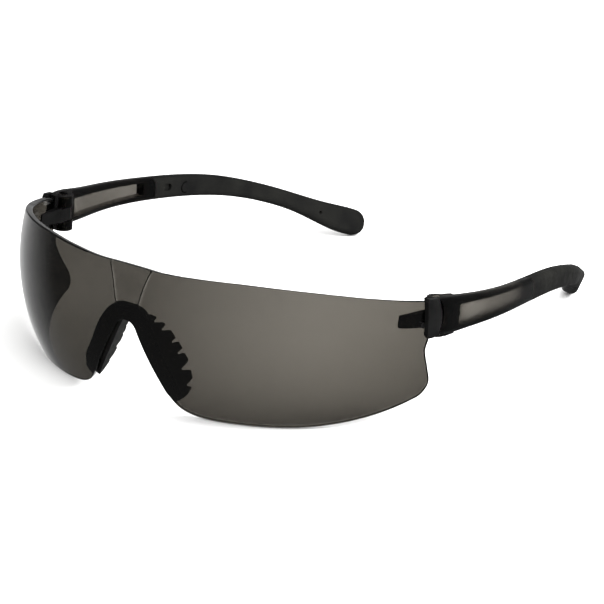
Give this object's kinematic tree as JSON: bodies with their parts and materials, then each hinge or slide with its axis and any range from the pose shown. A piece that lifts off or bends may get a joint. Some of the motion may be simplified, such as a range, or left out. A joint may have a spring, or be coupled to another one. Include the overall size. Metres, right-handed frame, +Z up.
{
  "type": "safety glasses",
  "caption": "Rimless wraparound safety glasses with a one-piece smoke lens, finned rubber nosepiece and folding rubber-tipped temples.",
  "frame": {"origin": "on the surface that the glasses rest on, under the middle of their box", "axes": "+X to the wearer's left, square to the plane of symmetry; +Y from the lens back along the temples; +Z up"},
  "size_m": [0.1428, 0.1776, 0.0416],
  "materials": {
    "smoke_lens": "polished smoke-grey polycarbonate, clear enough to see through",
    "smoke_frame": "dark smoke polycarbonate, fine matt texture, paler where it is thin",
    "black_nylon": "satin black moulded nylon",
    "soft_rubber": "matt black soft rubber",
    "steel": "bright steel screw"
  },
  "bodies": {
    "front": {"lens": "smoke_lens", "nosepiece": "soft_rubber", "bracket_left": "black_nylon", "bracket_right": "black_nylon", "lens_peg_left": "black_nylon", "lens_peg_right": "black_nylon"},
    "temple_left": {"temple_arm_left": "smoke_frame", "temple_tip_left": "soft_rubber", "hinge_screw_left": "steel"},
    "temple_right": {"temple_arm_right": "smoke_frame", "temple_tip_right": "soft_rubber", "hinge_screw_right": "steel"}
  },
  "joints": [
    {"name": "temple_left_fold", "type": "hinge", "parent": "front", "child": "temple_left", "pos_m": [0.0654, -0.03565, 0.0292], "axis": [0, 0, 1], "range_deg": [0, 78]},
    {"name": "temple_right_fold", "type": "hinge", "parent": "front", "child": "temple_right", "pos_m": [-0.0654, -0.03565, 0.0292], "axis": [0, 0, -1], "range_deg": [0, 71]}
  ]
}
